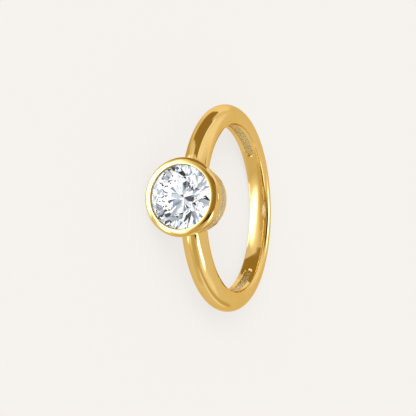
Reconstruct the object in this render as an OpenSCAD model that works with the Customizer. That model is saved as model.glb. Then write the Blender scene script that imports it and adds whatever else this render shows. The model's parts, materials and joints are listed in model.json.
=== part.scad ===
// Solitaire ring: a round brilliant in a closed bezel cup, soldered between
// the ends of a polished band that is round outside and flattened inside.
// The ring lies on its side, as it does when it is put down: it rests on the
// widest line of the bezel in front and on the edge of the band at the back,
// so the bezel faces -Y and a little upwards, and the finger hole opens upwards.
// The origin is on the surface that it lies on, under the middle of its box.

/* [Band] */
// Inner diameter of the band, which is the finger size
finger_d = 17.3; // [15:0.1:21]
// Thickness of the band between its flattened inside and its crest
band_t = 2.11; // [2.08:0.01:2.2]
// Radius of the round wire that the band is made from
wire_r = 1.215; // [1.2:0.005:1.22]
// Width of the flattened inside of the band
inside_w = 1.64; // [1.62:0.01:1.68]
// Radius of the soft edges between the inside and the flanks
edge_r = 0.18; // [0.16:0.01:0.2]

/* [Recesses] */
// Width of each sunk panel in the inside of the band
recess_w = 0.92; // [0.6:0.02:1.2]
// Depth of each sunk panel
recess_depth = 0.15; // [0.05:0.01:0.25]
// Angle from the bezel to the near end of each panel
recess_from = 86; // [60:1:100]
// Angle from the bezel to the far end of each panel
recess_to = 133.5; // [115:0.5:150]

/* [Bezel] */
// Thickness of the rim outside the stone
rim_wall = 0.63; // [0.5:0.01:0.7]
// How far the rim's lip covers the edge of the stone
lip_cover = 0.1; // [0.08:0.01:0.2]
// Width of the rim's rounded front, which is a quarter of an oval
rim_round = 0.61; // [0.55:0.01:0.62]
// Height of that rounded front
rim_rise = 0.39; // [0.35:0.01:0.5]
// Depth of the polished wall behind the rim's widest line
wall_depth = 0.9; // [0.6:0.05:1]
// How much the polished wall narrows towards its back
wall_taper = 0.12; // [0.11:0.01:0.15]
// Width of the groove between the polished wall and the collar
groove_w = 0.15; // [0.1:0.01:0.2]
// Depth of that groove below the wall
groove_depth = 0.24; // [0.15:0.01:0.3]
// Outer radius of the collar beside the groove
collar_front_r = 3.42; // [3.4:0.01:3.46]
// Outer radius of the collar at its back edge
collar_back_r = 3.13; // [3:0.01:3.2]
// Chamfer on the back edge of the collar
collar_chamfer = 0.08; // [0.04:0.01:0.12]
// Distance from the finger to the back of the collar
back_gap = 0.27; // [0.2:0.01:0.5]
// Radius of the opening under the stone
window_r = 2.3; // [1.8:0.1:2.5]

/* [Stone] */
// Diameter of the stone at its girdle
stone_d = 6; // [5.9:0.05:6.1]
// Width of the table, as a part of the diameter
table_part = 0.57; // [0.53:0.01:0.62]
// Angle of the main crown facets
crown_angle = 34.5; // [33:0.1:36]
// Angle of the main pavilion facets
pavilion_angle = 40.75; // [40:0.05:41.5]
// How far the star facets reach from the table towards the girdle
star_part = 0.5; // [0.45:0.01:0.55]
// How far the lower halves reach from the girdle towards the culet
lower_half_part = 0.77; // [0.7:0.01:0.85]
// Thickness of the girdle where the main facets meet it
girdle_t = 0.14; // [0.12:0.01:0.2]
// How far the main facets cut into the girdle's edge
main_cut = 0.02; // [0.01:0.005:0.03]
// Radius of the small flat at the tip
culet_r = 0.03; // [0.02:0.01:0.08]
// Turn of the stone about its own axis
stone_turn = 11.25; // [0:1.25:22.5]
// Gap between the stone and the metal
stone_gap = 0.03; // [0.02:0.01:0.05]
// Distance from the tip to the back of the collar
culet_clear = 0.5; // [0.3:0.05:0.6]

/* [Hidden] */
$fn = 96;

finger_r = finger_d / 2;
crest_r = finger_r + band_t;
wire_centre_r = crest_r - wire_r;

// A flat flank touches the soft edge and the round wire.
edge_centre_r = finger_r + edge_r;
edge_centre_z = inside_w / 2;
edge_span = norm([wire_centre_r - edge_centre_r, edge_centre_z]);
flank_turn = atan2(edge_centre_z, wire_centre_r - edge_centre_r)
    + acos((wire_r - edge_r) / edge_span);
flank_in_r = edge_centre_r - edge_r * cos(flank_turn);
flank_in_z = edge_centre_z + edge_r * sin(flank_turn);
flank_out_r = wire_centre_r - wire_r * cos(flank_turn);
flank_out_z = wire_r * sin(flank_turn);

// The facets repeat eight times round the stone, and the halves sixteen.
stone_r = stone_d / 2;
fold = 8;
fold_step = 360 / fold;
half_turn = fold_step / 4;
star_turn = fold_step / 2;

// Heights of the crown above the girdle, and of the pavilion below it.
table_r = stone_r * table_part;
main_r = stone_r - main_cut;
crown_h = (main_r - table_r) * tan(crown_angle);
table_edge_r = table_r * cos(star_turn);
star_tip_r = table_edge_r + (stone_r - table_edge_r) * star_part;
star_tip_h = (main_r - star_tip_r * cos(star_turn)) * tan(crown_angle);
star_angle = atan((crown_h - star_tip_h) / (star_tip_r - table_edge_r));
upper_half_angle = atan(star_tip_h / ((stone_r - star_tip_r) * cos(half_turn)));
lower_tip_r = stone_r * (1 - lower_half_part);
lower_tip_h = (main_r - lower_tip_r * cos(star_turn)) * tan(pavilion_angle);
lower_half_angle = atan(lower_tip_h / ((stone_r - lower_tip_r) * cos(half_turn)));
pavilion_h = (main_r - culet_r) * tan(pavilion_angle);

// Distances along the bezel's axis, from the middle of the finger hole.
back_h = finger_r + back_gap;
girdle_low_h = back_h + culet_clear + pavilion_h;
girdle_high_h = girdle_low_h + girdle_t;
table_h = girdle_high_h + crown_h;
widest_h = girdle_high_h;
wall_back_h = widest_h - wall_depth;
collar_front_h = wall_back_h - groove_w;

// Radii of the bezel, from its own axis.
rim_r = stone_r + rim_wall;
wall_back_r = rim_r - wall_taper;
groove_r = wall_back_r - groove_depth;
opening_r = stone_r - lip_cover;
rim_centre_r = rim_r - rim_round;
lip_bevel_h = 0.06;
seat_r = stone_r + stone_gap;
lip_under_h = girdle_high_h + stone_gap + (seat_r - opening_r) * tan(upper_half_angle);
seat_foot_h = girdle_low_h - stone_gap - (seat_r - window_r) * tan(lower_half_angle);
rim_inner_r = rim_centre_r;

// How the ring lies: one line touches the bezel and the band from below.
support_span = wire_centre_r + widest_h;
tilt = atan2(rim_r, support_span) - asin(wire_r / norm([support_span, rim_r]));
centre_z = wire_centre_r * sin(tilt) + wire_r;
front_y = table_h * cos(tilt) + table_r * sin(tilt);
back_y = wire_centre_r * cos(tilt) + wire_r;
centre_y = (front_y - back_y) / 2;

// Length by which a cutter passes the surface that it cuts.
over = 1;
// Side of a block that is larger than the stone.
block = 4 * stone_r;

// Round wire with a flattened inside: distance from the ring's axis, and height.
module wire_section() {
    intersection() {
        translate([wire_centre_r, 0]) circle(r = wire_r);
        translate([flank_out_r, -wire_r]) square([2 * wire_r, 2 * wire_r]);
    }
    for (side = [-1, 1])
        translate([edge_centre_r, side * edge_centre_z]) circle(r = edge_r);
    polygon([
        [finger_r, -edge_centre_z],
        [flank_in_r, -flank_in_z],
        [flank_out_r, -flank_out_z],
        [flank_out_r, flank_out_z],
        [flank_in_r, flank_in_z],
        [finger_r, edge_centre_z],
    ]);
}

module band() {
    rotate_extrude() wire_section();
}

// Turns what stands on the XY plane so that it points along the bezel's axis.
module along_bezel() {
    rotate([0, 90, 0]) children();
}

// One sunk panel with round ends, to be cut from the inside of the band.
module recess(turn) {
    end_turn = asin(recess_w / 2 / finger_r);
    floor_r = finger_r + recess_depth;
    intersection() {
        cylinder(r = floor_r, h = recess_w + over, center = true);
        union() {
            rotate([0, 0, turn * (recess_from + end_turn)])
                rotate_extrude(angle = turn * (recess_to - recess_from - 2 * end_turn))
                    translate([finger_r - over, -recess_w / 2])
                        square([recess_depth + 2 * over, recess_w]);
            for (end = [recess_from + end_turn, recess_to - end_turn])
                rotate([0, 0, turn * end])
                    translate([finger_r - over, 0, 0])
                        along_bezel() cylinder(d = recess_w, h = 2 * over);
        }
    }
}

// Outside of the bezel cup: radius, and distance along its axis.
module bezel_outline() {
    polygon([
        [0, back_h],
        [collar_back_r - collar_chamfer, back_h],
        [collar_back_r, back_h + collar_chamfer],
        [collar_front_r, collar_front_h],
        [groove_r, collar_front_h],
        [groove_r, wall_back_h],
        [wall_back_r, wall_back_h],
        [rim_r, widest_h],
        [rim_inner_r, widest_h],
        [rim_inner_r, widest_h + rim_rise],
        [0, widest_h + rim_rise],
    ]);
    intersection() {
        translate([rim_centre_r, widest_h]) scale([rim_round, rim_rise]) circle(r = 1);
        translate([rim_centre_r, widest_h]) square([rim_round, rim_rise]);
    }
}

// Inside of the cup: the window, the seat, the girdle's place and the lip.
module bezel_hollow() {
    polygon([
        [0, back_h - over],
        [window_r, back_h - over],
        [window_r, seat_foot_h],
        [seat_r, girdle_low_h - stone_gap],
        [seat_r, girdle_high_h + stone_gap],
        [opening_r, lip_under_h],
        [opening_r, lip_under_h + lip_bevel_h],
        [rim_inner_r, widest_h + rim_rise],
        [rim_inner_r, widest_h + rim_rise + over],
        [0, widest_h + rim_rise + over],
    ]);
}

// The band and the bezel are soldered, so they are one solid.
module metal() {
    difference() {
        union() {
            band();
            along_bezel() rotate_extrude() bezel_outline();
        }
        along_bezel() rotate_extrude() bezel_hollow();
        along_bezel() cylinder(r = collar_back_r, h = back_h);
        for (turn = [-1, 1]) recess(turn);
    }
}

// Takes away all that lies above a facet through the height h at the distance r.
module facet(turn, angle, r, h) {
    rotate([0, 0, turn]) translate([r, 0, h]) rotate([0, angle, 0])
        translate([-block / 2, -block / 2, 0]) cube(block);
}

// Crown facets over a girdle at height 0.
module crown_cuts() {
    translate([-block / 2, -block / 2, crown_h]) cube(block);
    for (i = [0:fold - 1]) {
        facet(i * fold_step, crown_angle, main_r, 0);
        facet(i * fold_step + star_turn, star_angle, table_edge_r, crown_h);
        for (side = [-1, 1])
            facet(i * fold_step + side * half_turn, upper_half_angle, stone_r * cos(half_turn), 0);
    }
}

// Pavilion facets under a girdle at height 0, turned over to point upwards.
module pavilion_cuts() {
    translate([-block / 2, -block / 2, pavilion_h]) cube(block);
    for (i = [0:fold - 1]) {
        facet(i * fold_step, pavilion_angle, main_r, 0);
        for (side = [-1, 1])
            facet(i * fold_step + side * half_turn, lower_half_angle, stone_r * cos(half_turn), 0);
    }
}

// Round brilliant cut with its table towards +Z and its low girdle line at height 0.
module brilliant() {
    difference() {
        translate([0, 0, -pavilion_h - over])
            cylinder(r = stone_r, h = pavilion_h + girdle_t + crown_h + 2 * over);
        translate([0, 0, girdle_t]) crown_cuts();
        mirror([0, 0, 1]) pavilion_cuts();
    }
}

// Lays the ring down from its own frame, in which the bezel's axis is +X
// and the axis of the finger hole is +Z.
module laid_down() {
    translate([0, centre_y, centre_z]) rotate([-tilt, 0, 0]) rotate([0, 0, -90]) children();
}

module band_and_setting() {
    color("gold") laid_down() metal();
}

module stone() {
    color("aliceblue") laid_down() translate([girdle_low_h, 0, 0]) along_bezel() rotate([0, 0, -stone_turn]) brilliant();
}

band_and_setting();
stone();
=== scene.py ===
"""Looks of a solitaire ring: a polished gold band, a bezel cup and a round brilliant.

The ring lies on its side on a pale ground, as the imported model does. Its pieces are
modelled here once more, finer than the model's own, and in the same place: the shank,
the bezel cup and the stone. Sizes are in millimetres, and the scene is in metres.
"""

from __future__ import annotations

import json
import logging
import math
from collections.abc import Callable, Sequence
from dataclasses import dataclass
from enum import Enum, IntEnum

import bpy
from mathutils import Matrix, Vector, noise


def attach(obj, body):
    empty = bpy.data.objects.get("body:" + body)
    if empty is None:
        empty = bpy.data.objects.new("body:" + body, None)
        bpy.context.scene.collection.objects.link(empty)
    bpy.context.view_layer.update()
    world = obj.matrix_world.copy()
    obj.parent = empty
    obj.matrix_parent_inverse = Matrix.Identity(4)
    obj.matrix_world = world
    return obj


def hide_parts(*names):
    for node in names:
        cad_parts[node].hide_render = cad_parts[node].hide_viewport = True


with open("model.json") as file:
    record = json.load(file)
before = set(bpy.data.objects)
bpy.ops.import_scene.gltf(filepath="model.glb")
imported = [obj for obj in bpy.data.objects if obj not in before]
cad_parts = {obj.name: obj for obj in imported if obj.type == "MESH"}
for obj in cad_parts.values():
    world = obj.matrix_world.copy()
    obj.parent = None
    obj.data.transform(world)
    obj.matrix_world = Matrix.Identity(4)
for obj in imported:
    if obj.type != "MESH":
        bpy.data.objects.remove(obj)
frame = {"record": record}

MM = 0.001
log = logging.getLogger("solitaire_ring")


# Shader maths


class Signal:
    """An output in a shader tree that takes part in Python expressions."""

    def __init__(self, tree: ShaderTree, socket: bpy.types.NodeSocket) -> None:
        """Wraps a socket.

        Args:
            tree: The tree that the socket is in.
            socket: The output that the signal stands for.
        """
        self.tree = tree
        self.socket = socket

    def __add__(self, other: Value) -> Signal:
        """Sum of two values."""
        return self.tree.math("ADD", self, other)

    def __radd__(self, other: Value) -> Signal:
        """Sum of two values, the number first."""
        return self.tree.math("ADD", other, self)

    def __sub__(self, other: Value) -> Signal:
        """Difference of two values."""
        return self.tree.math("SUBTRACT", self, other)

    def __rsub__(self, other: Value) -> Signal:
        """Difference of two values, the number first."""
        return self.tree.math("SUBTRACT", other, self)

    def __mul__(self, other: Value) -> Signal:
        """Product of two values."""
        return self.tree.math("MULTIPLY", self, other)

    def __rmul__(self, other: Value) -> Signal:
        """Product of two values, the number first."""
        return self.tree.math("MULTIPLY", other, self)

    def __truediv__(self, other: Value) -> Signal:
        """Quotient of two values."""
        return self.tree.math("DIVIDE", self, other)

    def __rtruediv__(self, other: Value) -> Signal:
        """Quotient of two values, the number first."""
        return self.tree.math("DIVIDE", other, self)

    def __abs__(self) -> Signal:
        """Size of the value, without its sign."""
        return self.tree.math("ABSOLUTE", self)


Value = Signal | float | int
Colour = tuple[float, float, float]
Range = tuple[float, float]


class ShaderTree:
    """The node tree of a material or of the world, emptied and ready to build."""

    def __init__(self, owner: bpy.types.Material | bpy.types.World) -> None:
        """Empties the owner's tree.

        Args:
            owner: The material or world that the tree belongs to.
        """
        owner.use_nodes = True
        self.owner = owner
        self.tree = owner.node_tree
        self.tree.nodes.clear()

    def node(
        self, kind: str, settings: dict | None = None, inputs: dict | None = None
    ) -> bpy.types.Node:
        """Adds a node.

        Args:
            kind: The node's type, such as ShaderNodeMath.
            settings: Values of the node itself, set before its sockets.
            inputs: Signals or values of its input sockets, by name or number.

        Returns:
            The new node.
        """
        made = self.tree.nodes.new(kind)
        for name, value in (settings or {}).items():
            setattr(made, name, value)
        for name, value in (inputs or {}).items():
            socket = made.inputs[name]
            if isinstance(value, Signal):
                self.tree.links.new(value.socket, socket)
            elif isinstance(value, tuple) and len(value) == 3 and socket.type == "RGBA":
                socket.default_value = (*value, 1.0)
            else:
                socket.default_value = value
        return made

    def out(self, node: bpy.types.Node, output: str | int = 0) -> Signal:
        """One output of a node, as a signal."""
        return Signal(self, node.outputs[output])

    def math(self, operation: str, *values: Value) -> Signal:
        """Adds a Math node.

        Args:
            operation: The node's operation.
            values: Its one, two or three inputs.

        Returns:
            Its result.
        """
        inputs = dict(enumerate(values))
        return self.out(self.node("ShaderNodeMath", {"operation": operation}, inputs))

    def dot(self, vector: Signal, direction: Vector) -> Signal:
        """Part of a vector that lies along a direction."""
        made = self.node("ShaderNodeVectorMath", {"operation": "DOT_PRODUCT"},
                         {0: vector, 1: tuple(direction)})
        return self.out(made, "Value")

    def smooth(self, value: Signal, low: float, high: float) -> Signal:
        """Rises smoothly from 0 to 1 as the value goes from low to high."""
        inputs = {"Value": value, "From Min": low, "From Max": high}
        return self.out(self.node("ShaderNodeMapRange", {"interpolation_type": "SMOOTHSTEP"}, inputs))

    def mix(self, share: Value, first: Signal | Colour, second: Signal | Colour) -> Signal:
        """Blends two colours.

        Args:
            share: Share of the second colour, from 0 to 1.
            first: The first colour.
            second: The second colour.

        Returns:
            The blend.
        """
        settings = {"data_type": "RGBA"}
        inputs = {"Factor": share, 6: first, 7: second}
        return self.out(self.node("ShaderNodeMix", settings, inputs), 2)

    def object_point(self) -> Signal:
        """Place on the piece, in metres in the row frame."""
        return self.out(self.node("ShaderNodeTexCoord"), "Object")

    def noise(self, grain_mm: float, layers: float = 3.0) -> Signal:
        """Soft cloudy pattern on the piece.

        Args:
            grain_mm: Size of its larger spots.
            layers: How many finer layers it has.

        Returns:
            A value around a half.
        """
        scale = 1 / (grain_mm * MM)
        inputs = {"Vector": self.object_point(), "Scale": scale, "Detail": layers}
        return self.out(self.node("ShaderNodeTexNoise", None, inputs), "Fac")

    def bump(self, height: Signal, depth_mm: float) -> Signal:
        """Normal of small relief, for a height from 0 to 1 and the depth that 1 stands for."""
        inputs = {"Height": height, "Distance": depth_mm * MM, "Strength": 1.0}
        return self.out(self.node("ShaderNodeBump", None, inputs), "Normal")

    def surface(self, inputs: dict) -> bpy.types.Material:
        """Ends the tree in a Principled shader.

        Args:
            inputs: Signals or values of the shader's sockets, by name.

        Returns:
            The material that the tree belongs to.
        """
        shader = self.node("ShaderNodeBsdfPrincipled", None, inputs)
        self.node("ShaderNodeOutputMaterial", None, {"Surface": self.out(shader, "BSDF")})
        return self.owner


# Finishes


@dataclass(frozen=True)
class PolishedGold:
    """Yellow gold with a mirror polish and the faintest marks of wear."""

    name: str = "polished_gold"
    colour: Colour = (0.88, 0.67, 0.29)
    deep_colour: Colour = (0.86, 0.64, 0.26)
    edge_colour: Colour = (0.95, 0.80, 0.50)
    roughness: float = 0.045
    worn_roughness: float = 0.085
    cloud_mm: float = 2.2
    cloud_layers: float = 2.0
    cloud_range: Range = (0.35, 0.7)
    scratch_mm: float = 0.16
    scratch_layers: float = 4.0
    scratch_depth_mm: float = 0.0002

    def material(self) -> bpy.types.Material:
        """Builds the material.

        Returns:
            The material.
        """
        tree = ShaderTree(bpy.data.materials.new(self.name))
        clouds = tree.smooth(tree.noise(self.cloud_mm, self.cloud_layers), *self.cloud_range)
        marks = tree.noise(self.scratch_mm, self.scratch_layers)
        return tree.surface({
            "Base Color": tree.mix(clouds, self.colour, self.deep_colour),
            "Metallic": 1.0,
            "Specular Tint": (*self.edge_colour, 1.0),
            "Roughness": self.roughness + clouds * (self.worn_roughness - self.roughness),
            "Normal": tree.bump(marks, self.scratch_depth_mm),
        })


@dataclass(frozen=True)
class TurnedGold:
    """Gold left as the lathe and the file leave it: fine lines round the cup."""

    place: RingFrame
    name: str = "turned_gold"
    colour: Colour = (0.80, 0.70, 0.46)
    deep_colour: Colour = (0.46, 0.39, 0.22)
    roughness: float = 0.22
    dull_roughness: float = 0.38
    line_mm: float = 0.055
    line_layers: float = 3.0
    line_depth_mm: float = 0.006
    cloud_mm: float = 0.5
    cloud_share: float = 0.6
    worn_range: Range = (0.62, 1.0)

    def material(self) -> bpy.types.Material:
        """Builds the material.

        Returns:
            The material.
        """
        tree = ShaderTree(bpy.data.materials.new(self.name))
        along = tree.dot(tree.object_point(), self.place.ahead) * (1 / (self.line_mm * MM))
        pattern = tree.node("ShaderNodeTexNoise", {"noise_dimensions": "1D"},
                            {"W": along, "Scale": 1.0, "Detail": self.line_layers})
        lines = tree.out(pattern, "Fac")
        clouds = tree.noise(self.cloud_mm)
        worn = tree.smooth(lines + clouds * self.cloud_share, *self.worn_range)
        return tree.surface({
            "Base Color": tree.mix(worn, self.deep_colour, self.colour),
            "Metallic": 1.0,
            "Roughness": self.roughness + worn * (self.dull_roughness - self.roughness),
            "Normal": tree.bump(lines, self.line_depth_mm),
        })


@dataclass(frozen=True)
class StippledGold:
    """Gold of the sunk panels, punched with a fine stipple and not polished. Its pits are painted
    darker, as painted shade.
    """

    name: str = "stippled_gold"
    colour: Colour = (0.96, 0.83, 0.48)
    deep_colour: Colour = (0.36, 0.27, 0.10)
    roughness: float = 0.16
    dull_roughness: float = 0.34
    grain_mm: float = 0.08
    grain_depth_mm: float = 0.02
    raised_range: Range = (0.38, 0.62)

    def material(self) -> bpy.types.Material:
        """Builds the material.

        Returns:
            The material.
        """
        tree = ShaderTree(bpy.data.materials.new(self.name))
        grains = tree.noise(self.grain_mm)
        raised = tree.smooth(grains, *self.raised_range)
        return tree.surface({
            # Pits of the grain get the deep colour: painted shade in the stipple's pits.
            "Base Color": tree.mix(raised, self.deep_colour, self.colour),
            "Metallic": 1.0,
            "Roughness": self.dull_roughness + raised * (self.roughness - self.dull_roughness),
            "Normal": tree.bump(grains, self.grain_depth_mm),
        })


@dataclass(frozen=True)
class PlatedSeat:
    """White plating inside the cup, which keeps the gold's colour out of the stone.

    The light that comes through the stone is too sharply bent to be traced back, so
    the plating shines by itself for rays that look at it through the stone.
    """

    name: str = "plated_seat"
    colour: Colour = (0.84, 0.85, 0.86)
    deep_colour: Colour = (0.70, 0.71, 0.73)
    glow: Colour = (0.50, 0.53, 0.57)
    roughness: float = 0.22
    cloud_mm: float = 0.4
    cloud_range: Range = (0.35, 0.65)

    def material(self) -> bpy.types.Material:
        """Builds the material.

        Returns:
            The material.
        """
        tree = ShaderTree(bpy.data.materials.new(self.name))
        clouds = tree.smooth(tree.noise(self.cloud_mm), *self.cloud_range)
        through = tree.out(tree.node("ShaderNodeLightPath"), "Is Transmission Ray")
        return tree.surface({
            "Base Color": tree.mix(clouds, self.colour, self.deep_colour),
            "Metallic": 1.0,
            "Roughness": self.roughness,
            "Emission Color": tree.mix(through, (0.0, 0.0, 0.0), self.glow),
            "Emission Strength": 1.0,
        })


@dataclass(frozen=True)
class ClearStone:
    """Clear stone of high brilliance, nearly colourless, with the faintest clouds."""

    name: str = "clear_stone"
    colour: Colour = (0.99, 0.995, 1.0)
    cloud_colour: Colour = (0.97, 0.98, 1.0)
    cloud_mm: float = 0.6
    cloud_range: Range = (0.4, 0.65)
    glare: float = 0.15
    refraction: float = 2.417

    def material(self) -> bpy.types.Material:
        """Builds the material.

        Returns:
            The material.
        """
        tree = ShaderTree(bpy.data.materials.new(self.name))
        clouds = tree.smooth(tree.noise(self.cloud_mm), *self.cloud_range)
        return tree.surface({
            "Base Color": tree.mix(clouds, self.colour, self.cloud_colour),
            "Roughness": 0.0,
            "Specular Tint": (self.glare, self.glare, self.glare, 1.0),
            "IOR": self.refraction,
            "Transmission Weight": 1.0,
        })


@dataclass(frozen=True)
class PaintedShadeLipEdge:
    """Inner edge of the lip, painted dark as shade where the lip meets the stone."""

    name: str = "lip_edge"
    colour: Colour = (0.36, 0.32, 0.22)
    lighter_patch_colour: Colour = (0.55, 0.46, 0.27)
    roughness: float = 0.38
    mark_mm: float = 0.25
    mark_range: Range = (0.4, 0.65)

    def material(self) -> bpy.types.Material:
        """Builds the material.

        Returns:
            The material.
        """
        tree = ShaderTree(bpy.data.materials.new(self.name))
        marks = tree.smooth(tree.noise(self.mark_mm), *self.mark_range)
        return tree.surface({
            # Both colours are dark: painted shade at the lip's edge, with random lighter patches.
            "Base Color": tree.mix(marks, self.colour, self.lighter_patch_colour),
            "Metallic": 1.0,
            "Roughness": self.roughness,
        })


@dataclass(frozen=True)
class PaleGround:
    """Matt off-white ground."""

    name: str = "pale_ground"
    colour: Colour = (0.922, 0.888, 0.847)
    lit_share: float = 0.15

    def material(self) -> bpy.types.Material:
        """Builds the material: lamps light a share of it, and it shines by itself for the rest.

        Returns:
            The material.
        """
        return ShaderTree(bpy.data.materials.new(self.name)).surface({
            "Base Color": tuple(c * self.lit_share for c in self.colour),
            "Roughness": 1.0,
            "Specular IOR Level": 0.0,
            "Emission Color": (*self.colour, 1.0),
            "Emission Strength": 1 - self.lit_share,
        })


# Place and outlines


@dataclass(frozen=True)
class RingFrame:
    """Where the ring lies, in the row frame.

    Places in the ring are given in millimetres along three directions: ahead, towards
    the bezel; aside, across it; and up, along the axis of the finger hole.
    """

    middle: Vector
    ahead: Vector
    aside: Vector
    up: Vector
    finger_r: float

    @classmethod
    def from_record(cls, record: dict, mount: str = "finger_hole") -> RingFrame:
        """Reads the place of the finger hole.

        Args:
            record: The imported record.
            mount: Name of the mount that is the finger hole.

        Returns:
            The ring's frame.
        """
        hole = next(m for m in record["mounts"] if m["name"] == mount)
        up = Vector(hole["axis"]).normalized()
        aside = Vector((1.0, 0.0, 0.0))
        return cls(Vector(hole["pos_m"]), aside.cross(up), aside, up, hole["dims"]["r_mm"])

    def direction(self, ahead: float, aside: float, up: float) -> Vector:
        """Direction in the row frame of a direction in the ring, with its length kept."""
        return ahead * self.ahead + aside * self.aside + up * self.up

    def point(self, ahead: float, aside: float, up: float) -> Vector:
        """Place in the row frame, in metres, of a place in the ring."""
        return self.middle + MM * self.direction(ahead, aside, up)

    def local(self, point: Vector) -> Vector:
        """Place in the ring, in millimetres, of a place in the row frame."""
        away = (point - self.middle) / MM
        return Vector((away.dot(self.ahead), away.dot(self.aside), away.dot(self.up)))


@dataclass(frozen=True)
class Corner:
    """A corner of an outline, with the radius that rounds it."""

    across: float
    along: float
    rounding: float = 0.0


def arc_points(centre: Vector, radius: float, start: float, end: float, steps: int) -> list[Vector]:
    """Points along an arc.

    Args:
        centre: Its centre.
        radius: Its radius.
        start: Angle of its first point, in degrees.
        end: Angle at its end, in degrees.
        steps: Number of its points. The one at the end is left out.

    Returns:
        The points.
    """
    turns = (math.radians(start + (end - start) * i / steps) for i in range(steps))
    return [centre + radius * Vector((math.cos(t), math.sin(t))) for t in turns]


def rounded(corners: Sequence[Corner], steps: int) -> list[Vector]:
    """Outline through corners, with each corner rounded by its own radius.

    Args:
        corners: The corners of a closed outline, in order.
        steps: Number of edges in each rounding.

    Returns:
        The outline's points.
    """
    points = []
    for before, here, after in zip(corners[-1:] + corners[:-1], corners, corners[1:] + corners[:1]):
        corner = Vector((here.across, here.along))
        back = (Vector((before.across, before.along)) - corner).normalized()
        on = (Vector((after.across, after.along)) - corner).normalized()
        if not here.rounding:
            points.append(corner)
            continue
        half = back.angle(on) / 2
        centre = corner + (back + on).normalized() * here.rounding / math.sin(half)
        first = corner + back * here.rounding / math.tan(half) - centre
        last = corner + on * here.rounding / math.tan(half) - centre
        sweep = first.angle_signed(last)
        for i in range(steps + 1):
            points.append(centre + Matrix.Rotation(-sweep * i / steps, 2) @ first)
    return points


# Modelling


class Bench:
    """Blender's modelling tools, used on one piece at a time."""

    double_mm: float = 1e-4
    crease_deg: float = 32.0

    @staticmethod
    def clear() -> None:
        """Leaves edit mode, and leaves nothing selected."""
        if bpy.context.object and bpy.context.object.mode != "OBJECT":
            bpy.ops.object.mode_set(mode="OBJECT")
        bpy.ops.object.select_all(action="DESELECT")

    @staticmethod
    def trace(name: str, points: Sequence[Vector]) -> bpy.types.Object:
        """Traces a closed outline by extruding one vertex from point to point.

        Args:
            name: Name of the new piece.
            points: The outline's points, in the row frame.

        Returns:
            The piece, in edit mode, with the whole outline selected.
        """
        Bench.clear()
        bpy.ops.mesh.primitive_plane_add(size=MM, location=points[0])
        piece = bpy.context.object
        piece.name = piece.data.name = name
        bpy.ops.object.transform_apply(location=True, rotation=True, scale=True)
        bpy.ops.object.mode_set(mode="EDIT")
        bpy.ops.mesh.select_mode(type="VERT")
        bpy.ops.mesh.select_all(action="SELECT")
        bpy.ops.mesh.merge(type="CENTER")
        for start, end in zip(points, points[1:]):
            bpy.ops.mesh.extrude_vertices_move(TRANSFORM_OT_translate={"value": end - start})
        Bench.select(piece, lambda v: v.index in (0, len(points) - 1))
        bpy.ops.mesh.edge_face_add()
        bpy.ops.mesh.select_all(action="SELECT")
        return piece

    @staticmethod
    def select(piece: bpy.types.Object, test: Callable[[bpy.types.MeshVertex], bool]) -> None:
        """Selects the vertices that pass a test, and no others.

        Args:
            piece: The piece, which is in edit mode before and after.
            test: Says whether a vertex is taken.
        """
        bpy.ops.mesh.select_all(action="DESELECT")
        bpy.ops.object.mode_set(mode="OBJECT")
        for vertex in piece.data.vertices:
            vertex.select = test(vertex)
        bpy.ops.object.mode_set(mode="EDIT")

    @staticmethod
    def spin(centre: Vector, axis: Vector, degrees: float, steps: int) -> None:
        """Sweeps what is selected round an axis, anticlockwise as seen against it."""
        bpy.ops.mesh.spin(steps=steps, angle=-math.radians(degrees), center=centre, axis=axis)

    @staticmethod
    def reshape(piece: bpy.types.Object, move: Callable[[Vector], Vector]) -> None:
        """Moves the piece's vertices.

        Args:
            piece: The piece, which is in edit mode before and after.
            move: Says where a vertex goes from its place.
        """
        bpy.ops.object.mode_set(mode="OBJECT")
        for vertex in piece.data.vertices:
            vertex.co = move(vertex.co)
        piece.data.update()
        bpy.ops.object.mode_set(mode="EDIT")

    @staticmethod
    def merge() -> None:
        """Selects the whole piece and merges its doubles."""
        bpy.ops.mesh.select_all(action="SELECT")
        bpy.ops.mesh.remove_doubles(threshold=MM * Bench.double_mm)

    @staticmethod
    def finish(piece: bpy.types.Object, materials: Sequence[bpy.types.Material]) -> None:
        """Merges doubles, turns the faces outwards and smooths all but the creases.

        Args:
            piece: The piece, in edit mode before and in object mode after.
            materials: The materials that it gets.
        """
        Bench.merge()
        bpy.ops.mesh.normals_make_consistent(inside=False)
        bpy.ops.object.mode_set(mode="OBJECT")
        bpy.ops.object.shade_smooth_by_angle(angle=math.radians(Bench.crease_deg))
        for material in materials:
            piece.data.materials.append(material)


def smoothstep(value: float, low: float, high: float) -> float:
    """Rises smoothly from 0 at low to 1 at high."""
    share = min(max((value - low) / (high - low), 0.0), 1.0)
    return share * share * (3 - 2 * share)


# The ring's pieces


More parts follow.
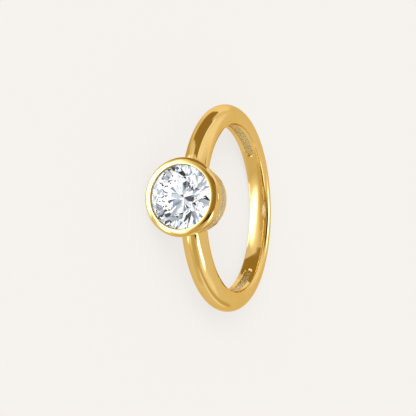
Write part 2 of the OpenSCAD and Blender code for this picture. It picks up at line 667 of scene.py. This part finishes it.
@dataclass
class Shank:
    """The band: round wire, slightly domed inside, with two sunk panels."""

    place: RingFrame
    band_t: float = 2.11
    wire_r: float = 1.215
    edge_r: float = 0.15
    dome_r: float = 6.0
    inside_w: float = 1.8
    end_r: float = 3.13
    blend_deg: float = 42.0
    first_deg: float = 22.5
    panel_from_deg: float = 86.0
    panel_to_deg: float = 133.5
    panel_w: float = 0.92
    panel_depth: float = 0.15
    panel_wall: float = 0.07
    # Next four: parts of the wall's width, counted inwards from a panel's outline
    wall_from: float = -0.3
    wall_to: float = 0.7
    dull_from: float = 0.8
    stipple_to: float = 2.5
    inside_t: float = 0.3
    fine_deg: float = 0.3
    coarse_deg: float = 0.9
    fine_margin_deg: float = 1.1
    dome_steps: int = 74
    edge_steps: int = 10
    wire_steps: int = 50
    stipple_depth: float = 0.03
    stipple_mm: float = 0.12
    name: str = "shank"

    def section(self) -> list[Vector]:
        """Outline of the wire.

        Returns:
            Its points: distance from the ring's axis, and height.
        """
        wire = Vector((self.place.finger_r + self.band_t - self.wire_r, 0.0))
        dome = Vector((self.place.finger_r + self.dome_r, 0.0))
        inner = 180 - math.degrees(math.asin(self.inside_w / 2 / self.dome_r))
        edge = arc_points(dome, self.dome_r - self.edge_r, inner, inner, 1)[0]
        low_edge = Vector((edge.x, -edge.y))
        away = edge - wire
        lean = math.acos((self.wire_r - self.edge_r) / away.length)
        outer = math.degrees(math.atan2(away.y, away.x) - lean)
        return [
            *arc_points(dome, self.dome_r, 360 - inner, inner, self.dome_steps),
            *arc_points(edge, self.edge_r, inner, outer, self.edge_steps),
            *arc_points(wire, self.wire_r, outer, -outer, self.wire_steps),
            *arc_points(low_edge, self.edge_r, -outer, -inner, self.edge_steps),
        ]

    def sweeps(self) -> list[tuple[float, int]]:
        """Spins that sweep the band, with finer steps at the panels.

        Returns:
            Turn and number of steps of each, from one end round to the other.
        """
        fine_from = self.panel_from_deg - self.fine_margin_deg
        fine_to = self.panel_to_deg + self.fine_margin_deg
        stops = [self.first_deg, fine_from, fine_to, 360 - fine_to, 360 - fine_from,
                 360 - self.first_deg]
        steps = [self.coarse_deg, self.fine_deg] * 2 + [self.coarse_deg]
        return [(b - a, round((b - a) / s)) for a, b, s in zip(stops, stops[1:], steps)]

    def end_turn(self, radius: float, height: float) -> float:
        """Turn at which a line of the band meets the round end, in degrees."""
        return math.degrees(math.asin(math.sqrt(self.end_r**2 - height**2) / radius))

    def panel_gap(self, turn: float, height: float) -> float:
        """Distance from the nearer sunk panel.

        Args:
            turn: Turn round the ring, in degrees from the bezel.
            height: Height over the band's middle.

        Returns:
            Distance from the panel's outline, negative inside it.
        """
        half_w = self.panel_w / 2
        middle = (self.panel_from_deg + self.panel_to_deg) / 2
        half = math.radians(self.panel_to_deg - middle) * self.place.finger_r - half_w
        along = abs(math.radians(abs(turn) - middle) * self.place.finger_r)
        return math.hypot(max(along - half, 0.0), height) - half_w

    def formed(self, point: Vector) -> Vector:
        """Draws the ends onto the cup, and sinks the two panels.

        Args:
            point: Place of a vertex after the spin.

        Returns:
            Its final place.
        """
        ahead, aside, height = self.place.local(point)
        radius, turn = math.hypot(ahead, aside), math.degrees(math.atan2(aside, ahead))
        if abs(turn) < self.blend_deg:
            end = self.end_turn(radius, height)
            share = (abs(turn) - self.first_deg) / (self.blend_deg - self.first_deg)
            turn = math.copysign(end + share * (self.blend_deg - end), turn)
        if radius < self.place.finger_r + self.panel_depth and abs(height) < self.panel_w:
            wall = self.panel_wall
            gap = self.panel_gap(turn, height)
            sunk = smoothstep(-gap, self.wall_from * wall, self.wall_to * wall)
            inside = smoothstep(-gap, wall, self.stipple_to * wall)
            grain = noise.noise(point / (self.stipple_mm * MM))
            radius += (self.place.finger_r + self.panel_depth - radius) * sunk
            radius += self.stipple_depth * inside * grain
        angle = math.radians(turn)
        return self.place.point(radius * math.cos(angle), radius * math.sin(angle), height)

    def build(self, polish: PolishedGold, stipple: StippledGold) -> bpy.types.Object:
        """Models the shank and dresses it.

        Args:
            polish: Finish of the band.
            stipple: Finish of the sunk panels.

        Returns:
            The piece.
        """
        start = math.radians(self.first_deg)
        points = [self.place.point(p.x * math.cos(start), p.x * math.sin(start), p.y)
                  for p in self.section()]
        piece = Bench.trace(self.name, points)
        for degrees, steps in self.sweeps():
            Bench.spin(self.place.middle, self.place.up, degrees, steps)
        Bench.reshape(piece, self.formed)
        Bench.merge()
        bpy.ops.mesh.select_all(action="DESELECT")
        bpy.ops.mesh.select_non_manifold(extend=False)
        bpy.ops.mesh.edge_face_add()
        Bench.finish(piece, [polish.material(), stipple.material()])
        for face in piece.data.polygons:
            ahead, aside, height = self.place.local(face.center)
            inside = math.hypot(ahead, aside) < self.place.finger_r + self.inside_t
            gap = self.panel_gap(math.degrees(math.atan2(aside, ahead)), height)
            face.material_index = int(inside and gap < -self.dull_from * self.panel_wall)
        return piece


class CupFinish(IntEnum):
    """Finishes of the bezel cup, in the order of its materials."""

    POLISHED = 0
    TURNED = 1
    PLATED = 2
    # Dark finish of the lip's inner edge: painted shade where it meets the stone.
    PAINTED_SHADE = 3


@dataclass
class BezelCup:
    """The closed setting: a rounded rim and wall over a narrower turned collar."""

    place: RingFrame
    back: float = 8.92
    window_r: float = 2.3
    collar_back_r: float = 3.13
    collar_front_r: float = 3.42
    collar_chamfer: float = 0.08
    collar_front: float = 11.052
    groove_r: float = 3.27
    wall_back: float = 11.202
    wall_back_r: float = 3.51
    widest: float = 12.102
    rim_r: float = 3.63
    rim_round: float = 0.61
    rim_rise: float = 0.39
    lip_round: float = 0.07
    opening_r: float = 2.90
    lip_bevel: float = 0.06
    edge_w: float = 0.06
    lip_under: float = 12.245
    seat_r: float = 3.03
    seat_front: float = 12.132
    seat_back: float = 11.932
    seat_foot: float = 11.282
    soft: float = 0.03
    corner_steps: int = 4
    rim_steps: int = 28
    lip_steps: int = 14
    lip_soft: float = 0.015
    under_soft: float = 0.01
    beyond: float = 1.0
    turned_lines: int = 56
    turned_depth: float = 0.006
    turned_mean: float = 0.5
    turned_step: float = 0.9
    turned_seed: float = 0.5
    around: int = 256
    back_band: float = 0.48
    score_at: float = 10.15
    score_w: float = 0.05
    score_depth: float = 0.06
    plated_depth: float = 2.2
    name: str = "bezel_cup"

    def collar(self) -> list[Vector]:
        """Outside of the collar, with turned and scored lines.

        Returns:
            Its points from the back to the front.
        """
        start = Vector((self.collar_back_r, self.back + self.collar_chamfer))
        end = Vector((self.collar_front_r, self.collar_front))
        out = Vector((end.y - start.y, start.x - end.x)).normalized()
        points = [start.lerp(end, i / self.turned_lines) for i in range(self.turned_lines)]
        for i in range(1, len(points)):
            if points[i].y > self.back + self.back_band:
                spot = Vector((i * self.turned_step, self.turned_seed, self.turned_seed))
                depth = self.turned_depth * (self.turned_mean + noise.noise(spot))
                if abs(points[i].y - self.score_at) < self.score_w:
                    depth += self.score_depth
                points[i] = points[i] - out * depth
        return points

    def outline(self) -> list[Vector]:
        """Section of the cup.

        Returns:
            Its points: distance from the cup's axis, and place along it.
        """
        top = self.widest + self.rim_rise
        rim_centre = Vector((self.rim_r - self.rim_round, self.widest))
        behind = rounded([
            Corner(self.window_r, self.back + self.beyond),
            Corner(self.window_r, self.back, self.soft),
            Corner(self.collar_back_r - self.collar_chamfer, self.back, self.soft),
            Corner(self.collar_back_r, self.back + self.collar_chamfer),
        ], self.corner_steps)[1:-1]
        middle = rounded([
            Corner(self.collar_back_r, self.back + self.collar_chamfer),
            Corner(self.collar_front_r, self.collar_front, self.soft),
            Corner(self.groove_r, self.collar_front, self.soft),
            Corner(self.groove_r, self.wall_back, self.soft),
            Corner(self.wall_back_r, self.wall_back, self.soft * 2),
            Corner(self.rim_r, self.widest),
            Corner(0.0, self.widest),
        ], self.corner_steps)[1:-2]
        lip_centre = Vector((rim_centre.x, top - self.lip_round))
        away = Vector((self.opening_r, self.lip_under + self.lip_bevel)) - lip_centre
        lean = math.atan2(away.y, away.x) - math.acos(self.lip_round / away.length)
        lip_end = 360 + math.degrees(lean)
        lip = arc_points(lip_centre, self.lip_round, 90, lip_end, self.lip_steps)
        foot = arc_points(lip_centre, self.lip_round, lip_end, lip_end, 1)[0]
        inside = rounded([
            Corner(foot.x, foot.y),
            Corner(self.opening_r, self.lip_under + self.lip_bevel, self.lip_soft),
            Corner(self.opening_r, self.lip_under, self.under_soft),
            Corner(self.seat_r, self.seat_front),
            Corner(self.seat_r, self.seat_back),
            Corner(self.window_r, self.seat_foot, self.soft),
            Corner(self.window_r, self.seat_foot - self.beyond),
            Corner(rim_centre.x + self.beyond, self.seat_foot - self.beyond),
            Corner(rim_centre.x + self.beyond, top),
        ], self.corner_steps)[:-3]
        flat = self.rim_rise / self.rim_round
        rim = [Vector((p.x, self.widest + (p.y - self.widest) * flat))
               for p in arc_points(rim_centre, self.rim_round, 0, 90, self.rim_steps)]
        return [*behind, *self.collar(), *middle, *rim, *lip, *inside]

    def finish_at(self, radius: float, along: float) -> CupFinish:
        """Finish of a face.

        Args:
            radius: Distance of its middle from the cup's axis.
            along: Place of its middle along that axis.

        Returns:
            The finish.
        """
        # The lip's inner edge gets a dark finish: painted shade where the lip meets the stone.
        if radius < self.opening_r + self.edge_w and along > self.lip_under:
            return CupFinish.PAINTED_SHADE
        if radius < self.seat_r + self.soft and along < self.lip_under + self.lip_bevel:
            plated = along > self.seat_foot - self.plated_depth
            return CupFinish.PLATED if plated else CupFinish.POLISHED
        turned = self.back + self.back_band < along < self.wall_back - self.soft
        return CupFinish.TURNED if turned else CupFinish.POLISHED

    def build(
        self, polish: PolishedGold, turned: TurnedGold, plated: PlatedSeat, lip_shade: PaintedShadeLipEdge
    ) -> bpy.types.Object:
        """Models the cup and dresses it.

        Args:
            polish: Finish of the rim, the wall and the back edge.
            turned: Finish of the collar and the groove.
            plated: Finish of the seat, inside.
            lip_shade: Finish of the lip's inner edge.

        Returns:
            The piece.
        """
        points = [self.place.point(p.y, 0.0, p.x) for p in self.outline()]
        piece = Bench.trace(self.name, points)
        Bench.spin(self.place.middle, self.place.ahead, 360.0, self.around)
        Bench.finish(piece, [f.material() for f in (polish, turned, plated, lip_shade)])
        for face in piece.data.polygons:
            ahead, aside, height = self.place.local(face.center)
            face.material_index = self.finish_at(math.hypot(aside, height), ahead)
        return piece


@dataclass
class RoundBrilliant:
    """The stone: a round brilliant with 57 facets and a small flat at its tip."""

    place: RingFrame
    girdle_back: float = 11.962
    girdle_t: float = 0.14
    girdle_r: float = 3.0
    table_part: float = 0.57
    crown_angle: float = 34.5
    pavilion_angle: float = 40.75
    star_part: float = 0.5
    lower_half_part: float = 0.77
    main_cut: float = 0.02
    culet_r: float = 0.03
    fold: int = 8
    turn_deg: float = 11.25
    girdle_sides: int = 192
    spare: float = 0.1
    weld_mm: float = 1e-5
    # As good as flat: its sign says that the cut faces the back
    back_slope: float = -1e-6
    name: str = "round_brilliant"

    def cut(self, turn: float, angle: float, radius: float, along: float) -> None:
        """Cuts a facet in the selected stone.

        Args:
            turn: Turn of the facet round the stone's axis, in degrees.
            angle: Its slope from the girdle's plane, negative on the pavilion.
            radius: Distance from the axis of a point on it.
            along: Place of that point along the bezel's axis.
        """
        turn = math.radians(turn + self.turn_deg)
        slope = math.radians(abs(angle))
        sideways = math.cos(turn) * self.place.up + math.sin(turn) * self.place.aside
        lengthwise = math.copysign(math.cos(slope), angle) * self.place.ahead
        bpy.ops.mesh.select_all(action="SELECT")
        bpy.ops.mesh.bisect(
            plane_co=self.place.point(along, 0, 0) + sideways * radius * MM,
            plane_no=sideways * math.sin(slope) + lengthwise,
            use_fill=True,
            clear_outer=True,
            threshold=MM * self.weld_mm,
        )

    def build(self, clear: ClearStone) -> bpy.types.Object:
        """Cuts the stone out of a round blank and dresses it.

        Args:
            clear: Its finish.

        Returns:
            The piece.
        """
        step = 360 / self.fold
        half = step / 4
        star = step / 2
        half_cos = math.cos(math.radians(half))
        star_cos = math.cos(math.radians(star))
        crown_tan = math.tan(math.radians(self.crown_angle))
        pavilion_tan = math.tan(math.radians(self.pavilion_angle))
        main_r = self.girdle_r - self.main_cut
        half_r = self.girdle_r * half_cos
        front = self.girdle_back + self.girdle_t
        table_r = self.girdle_r * self.table_part
        crown_h = (main_r - table_r) * crown_tan
        table_edge = table_r * star_cos
        tip_r = table_edge + (self.girdle_r - table_edge) * self.star_part
        tip_h = (main_r - tip_r * star_cos) * crown_tan
        star_angle = math.degrees(math.atan((crown_h - tip_h) / (tip_r - table_edge)))
        upper_angle = math.degrees(math.atan(tip_h / ((self.girdle_r - tip_r) * half_cos)))
        low_r = self.girdle_r * (1 - self.lower_half_part)
        low_h = (main_r - low_r * star_cos) * pavilion_tan
        lower_angle = math.degrees(math.atan(low_h / ((self.girdle_r - low_r) * half_cos)))
        depth = (main_r - self.culet_r) * pavilion_tan
        blank_h = depth + self.girdle_t + crown_h + 2 * self.spare

        Bench.clear()
        turn = self.place.ahead.to_track_quat("Z", "Y")
        bpy.ops.mesh.primitive_cylinder_add(
            vertices=self.girdle_sides,
            radius=self.girdle_r * MM,
            depth=blank_h * MM,
            location=self.place.point(self.girdle_back - depth - self.spare + blank_h / 2, 0, 0),
            rotation=turn.to_euler(),
        )
        piece = bpy.context.object
        piece.name = piece.data.name = self.name
        bpy.ops.object.transform_apply(location=True, rotation=True, scale=True)
        bpy.ops.object.mode_set(mode="EDIT")
        self.cut(0, 0.0, 0, front + crown_h)
        self.cut(0, self.back_slope, 0, self.girdle_back - depth)
        for i in range(self.fold):
            self.cut(i * step, self.crown_angle, main_r, front)
            self.cut(i * step + star, star_angle, table_edge, front + crown_h)
            self.cut(i * step, -self.pavilion_angle, main_r, self.girdle_back)
            for side in (-half, half):
                self.cut(i * step + side, upper_angle, half_r, front)
                self.cut(i * step + side, -lower_angle, half_r, self.girdle_back)
        bpy.ops.mesh.select_all(action="SELECT")
        bpy.ops.mesh.normals_make_consistent(inside=False)
        bpy.ops.object.mode_set(mode="OBJECT")
        bpy.ops.object.shade_flat()
        piece.data.materials.append(clear.material())
        return piece


# Studio


class Tone(Enum):
    """Brightness and colour of a part of the studio."""

    PLAIN = (0.82, 0.715, 0.545)
    PALE = (1.03, 0.93, 0.80)
    HALO = (1.25, 1.12, 0.98)
    DIM = (0.72, 0.59, 0.36)
    SHADE = (0.62, 0.49, 0.25)
    BROWN = (0.34, 0.22, 0.06)
    BLACK = (0.08, 0.05, 0.02)
    LAMP = (3.4, 3.6, 4.0)
    GLOW = (1.25, 1.3, 1.6)
    WHITE = (1.08, 1.09, 1.11)
    HAZE = (0.58, 0.62, 0.67)
    MIST = (0.40, 0.45, 0.49)
    GREY = (0.26, 0.29, 0.33)
    TEAL = (0.20, 0.27, 0.31)
    DARK = (0.015, 0.018, 0.022)
    SKY = (0.10, 0.20, 0.42)
    ICE = (0.50, 0.80, 0.95)


@dataclass(frozen=True)
class Panel:
    """A soft-edged rectangle or oval round the ring, measured in degrees as seen from it.

    Azimuth 0 lies along +Y and 90 along +X.
    """

    azimuth: float
    elevation: float
    width: float
    height: float
    soft: float
    tone: Tone
    turn: float = 0.0
    oval: bool = False

    @classmethod
    def group(cls, tone: Tone, soft: float, *places: tuple[float, ...]) -> tuple[Panel, ...]:
        """Panels of one tone, each given by its azimuth, elevation, width and height."""
        return tuple(cls(*place, soft, tone) for place in places)

    def directions(self) -> tuple[Vector, Vector, Vector]:
        """Where the panel is, as seen from the ring.

        Returns:
            Directions to its middle, to its right and to its top.
        """
        azimuth, elevation = math.radians(self.azimuth), math.radians(self.elevation)
        right = Vector((math.cos(azimuth), -math.sin(azimuth), 0.0))
        level = Vector((math.sin(azimuth), math.cos(azimuth), 0.0))
        middle = level * math.cos(elevation) + Vector((0.0, 0.0, math.sin(elevation)))
        turned = Matrix.Rotation(math.radians(self.turn), 3, middle)
        return middle, turned @ right, turned @ right.cross(middle)

    def mask(self, tree: ShaderTree, direction: Signal) -> Signal:
        """How much of the panel shows in a direction.

        Args:
            tree: The world's tree.
            direction: The direction that is looked in.

        Returns:
            From 0 outside the panel to 1 inside it.
        """
        middle, right, top = self.directions()
        facing = tree.dot(direction, middle)
        sideways = tree.math("ARCTAN2", tree.dot(direction, right), facing)
        upwards = tree.math("ARCSINE", tree.dot(direction, top))
        if self.oval:
            across = sideways / math.radians(self.width / 2)
            along = upwards / math.radians(self.height / 2)
            far = tree.math("SQRT", across * across + along * along)
            soft = self.soft / min(self.width, self.height)
            return 1 - tree.smooth(far, 1 - soft, 1 + soft)
        share = None
        for angle, size in ((sideways, self.width), (upwards, self.height)):
            inner = math.radians((size - self.soft) / 2)
            outer = math.radians((size + self.soft) / 2)
            part = 1 - tree.smooth(abs(angle), inner, outer)
            share = part if share is None else share * part
        return share


@dataclass
class Studio:
    """Pale ground, soft light, and the panels that the metal and the stone reflect."""

    ground_side: float = 4.0
    fill: float = 0.55
    key_level: float = 0.45
    key_angle: float = 40.0
    key_from: tuple[float, float, float] = (-0.9, -2.1, 1.0)
    metal_panels: tuple[Panel, ...] = (
        Panel(-75, 42, 90, 26, 16, Tone.PALE),
        Panel(80, 36, 56, 20, 14, Tone.PALE),
        Panel(72, 1, 64, 8, 6, Tone.PALE),
        Panel(-48, -14, 24, 50, 8, Tone.PALE),
        Panel(115, -18, 50, 26, 12, Tone.DIM),
        Panel(185, -9, 150, 18, 12, Tone.DIM),
        Panel(172, -4, 70, 9, 6, Tone.SHADE),
        Panel(75, 14, 90, 13, 7, Tone.SHADE),
        Panel(134, 8, 44, 34, 8, Tone.SHADE),
        Panel(-75, -62, 60, 16, 10, Tone.SHADE),
        Panel(185, 33, 70, 62, 8, Tone.BROWN),
        Panel(-22, 57, 18, 12, 4, Tone.BROWN),
        Panel(0, 75, 12, 12, 4, Tone.BLACK),
        Panel(-13, 60, 17, 8, 4, Tone.BLACK, -40),
        Panel(113, 48, 36, 15, 8, Tone.LAMP),
        Panel(-7, 45, 9, 13, 5, Tone.LAMP),
        Panel(-92, 26, 60, 3, 3, Tone.GLOW),
        Panel(-100, 6, 56, 34, 3, Tone.BROWN),
        Panel(-76, 0, 32, 26, 3, Tone.BROWN, 20),
        Panel(-90, -15, 42, 42, 3, Tone.BROWN, 50),
        Panel(186, -24, 86, 26, 12, Tone.HALO, oval=True),
        Panel(187, -25, 62, 16, 8, Tone.LAMP, 7, oval=True),
        Panel(150, -37, 18, 10, 6, Tone.LAMP),
        Panel(207, -58, 44, 38, 9, Tone.LAMP),
        Panel(155, 22, 12, 46, 5, Tone.BLACK, -33),
        Panel(-133, 42, 14, 15, 5, Tone.BLACK),
    )
    stone_panels: tuple[Panel, ...] = (
        *Panel.group(Tone.HAZE, 3, (180, -12, 36, 13), (170, 21, 38, 18), (146, 34, 26, 26),
                     (200, 40, 26, 16)),
        *Panel.group(Tone.MIST, 2, (148, 12, 10, 22), (168, 38, 9, 12), (184, 38, 8, 8),
                     (222, 10, 14, 14), (182, 56, 24, 8), (136, 30, 10, 14), (176, 12, 9, 7),
                     (192, -18, 12, 8)),
        *Panel.group(Tone.GREY, 2, (228, 26, 12, 14), (104, 30, 10, 20), (160, 20, 7, 10),
                     (216, 46, 8, 8), (152, 26, 8, 6), (208, 12, 9, 9), (160, -12, 9, 7),
                     (132, -10, 12, 10)),
        *Panel.group(Tone.TEAL, 2, (184, 21, 8, 8), (168, 10, 7, 6)),
        *Panel.group(Tone.DARK, 2, (170, 20, 9, 8), (192, 20, 7, 7), (200, 5, 6, 6),
                     (192, 35, 5, 6), (143, 43, 9, 8), (206, 44, 8, 9), (151, 15, 6, 8),
                     (120, 12, 10, 18), (248, 8, 10, 18), (178, 28, 7, 6), (160, 38, 6, 6),
                     (224, 44, 7, 7), (184, -12, 7, 7), (175, -12, 6, 6), (186, -20, 7, 6),
                     (200, -2, 8, 6)),
        *Panel.group(Tone.SKY, 2, (150, 58, 12, 8), (178, 46, 10, 5), (186, 11, 6, 5)),
        *Panel.group(Tone.ICE, 2, (122, 38, 16, 8)),
    )
    bounces: int = 24
    glossy_bounces: int = 12

    @staticmethod
    def paint(tree: ShaderTree, direction: Signal, base: Colour, panels: Sequence[Panel]) -> Signal:
        """Colour of the surroundings in a direction.

        Args:
            tree: The world's tree.
            direction: The direction that is looked in.
            base: Colour where there is no panel.
            panels: The panels, each in front of those before it.

        Returns:
            The colour.
        """
        colour: Signal | Colour = base
        for panel in panels:
            colour = tree.mix(panel.mask(tree, direction), colour, panel.tone.value)
        return colour

    def build_world(self) -> None:
        """Surrounds the ring: each kind of ray sees its own side of the studio."""
        world = bpy.data.worlds.new("studio")
        bpy.context.scene.world = world
        tree = ShaderTree(world)
        direction = tree.out(tree.node("ShaderNodeTexCoord"), "Generated")
        kinds = tree.node("ShaderNodeLightPath")
        metal = self.paint(tree, direction, Tone.PLAIN.value, self.metal_panels)
        stone = self.paint(tree, direction, Tone.WHITE.value, self.stone_panels)
        fill = (self.fill, self.fill, self.fill)
        colour = tree.mix(tree.out(kinds, "Is Glossy Ray"), fill, metal)
        colour = tree.mix(tree.out(kinds, "Is Transmission Ray"), colour, stone)
        colour = tree.mix(tree.out(kinds, "Is Camera Ray"), colour, PaleGround().colour)
        background = tree.node("ShaderNodeBackground", None, {"Color": colour})
        tree.node("ShaderNodeOutputWorld", None, {"Surface": tree.out(background)})
        world.cycles.sampling_method = "NONE"

    def build_key(self) -> None:
        """Adds the soft light that gives the ring its shadow."""
        bpy.ops.object.light_add(type="SUN")
        key = bpy.context.object
        key.name = "key_light"
        towards = Vector(self.key_from).normalized()
        key.rotation_euler = towards.to_track_quat("Z", "Y").to_euler()
        key.data.energy = self.key_level * math.pi / towards.z
        key.data.angle = math.radians(self.key_angle)
        key.visible_glossy = False
        key.visible_transmission = False

    def build_ground(self) -> None:
        """Lays the ground under the ring."""
        Bench.clear()
        bpy.ops.mesh.primitive_plane_add(size=self.ground_side)
        ground = bpy.context.object
        ground.name = "ground"
        ground.data.materials.append(PaleGround().material())
        ground.visible_glossy = False
        ground.visible_transmission = False

    def build(self) -> None:
        """Sets up the ground, the light and the way that colours are shown."""
        self.build_world()
        self.build_key()
        self.build_ground()
        scene = bpy.context.scene
        scene.view_settings.view_transform = "Standard"
        scene.cycles.max_bounces = self.bounces
        scene.cycles.transmission_bounces = self.bounces
        scene.cycles.glossy_bounces = self.glossy_bounces
        scene.cycles.caustics_reflective = False
        scene.cycles.caustics_refractive = False


@dataclass
class ViewingCamera:
    """Camera at the photograph's angle to the ring."""

    place: RingFrame
    distance: float = 81.007
    swing_deg: float = 23.033
    tip_deg: float = -4.693
    roll_deg: float = 1.043
    right: float = -2.3333
    raised: float = 0.0051
    pixels_per_mm: float = 9.5749
    picture_side: int = 416
    sensor_mm: float = 36.0
    near_mm: float = 8.0
    far_mm: float = 100000.0

    def build(self) -> None:
        """Places the camera."""
        swing, tip, roll = (math.radians(a) for a in (self.swing_deg, self.tip_deg, self.roll_deg))
        level = math.cos(tip)
        back = self.place.direction(level * math.cos(swing), -math.sin(tip), level * math.sin(swing))
        right = self.place.direction(0, -1, 0).cross(back).normalized()
        top = back.cross(right)
        turned = Matrix.Rotation(roll, 3, back)
        right, top = turned @ right, turned @ top
        away = self.right * right + self.raised * top + self.distance * back
        spot = self.place.middle + MM * away
        bpy.ops.object.camera_add(location=spot)
        camera = bpy.context.object
        camera.name = "camera"
        facing = Matrix((right, top, back)).transposed().to_4x4()
        camera.matrix_world = Matrix.Translation(spot) @ facing
        camera.data.sensor_width = self.sensor_mm
        camera.data.lens = self.pixels_per_mm * self.distance / self.picture_side * self.sensor_mm
        camera.data.clip_start = self.near_mm * MM
        camera.data.clip_end = self.far_mm * MM
        bpy.context.scene.camera = camera


def place_piece(piece: bpy.types.Object, node: str) -> None:
    """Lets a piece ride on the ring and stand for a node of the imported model.

    Args:
        piece: The piece.
        node: The node that it stands for.
    """
    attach(piece, "root")
    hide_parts(node)
    log.info("%s: %d faces, for %s", piece.name, len(piece.data.polygons), node)


def main() -> None:
    """Builds the ring's pieces, the studio and the camera."""
    logging.basicConfig(level=logging.INFO, format="%(name)s: %(message)s")
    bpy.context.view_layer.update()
    place = RingFrame.from_record(frame["record"])
    polish = PolishedGold()
    ViewingCamera(place).build()
    place_piece(Shank(place).build(polish, StippledGold()), "band_and_setting")
    cup = BezelCup(place).build(polish, TurnedGold(place), PlatedSeat(), PaintedShadeLipEdge())
    place_piece(cup, "band_and_setting")
    place_piece(RoundBrilliant(place).build(ClearStone()), "stone")
    Studio().build()


if __name__ == "__main__":
    main()
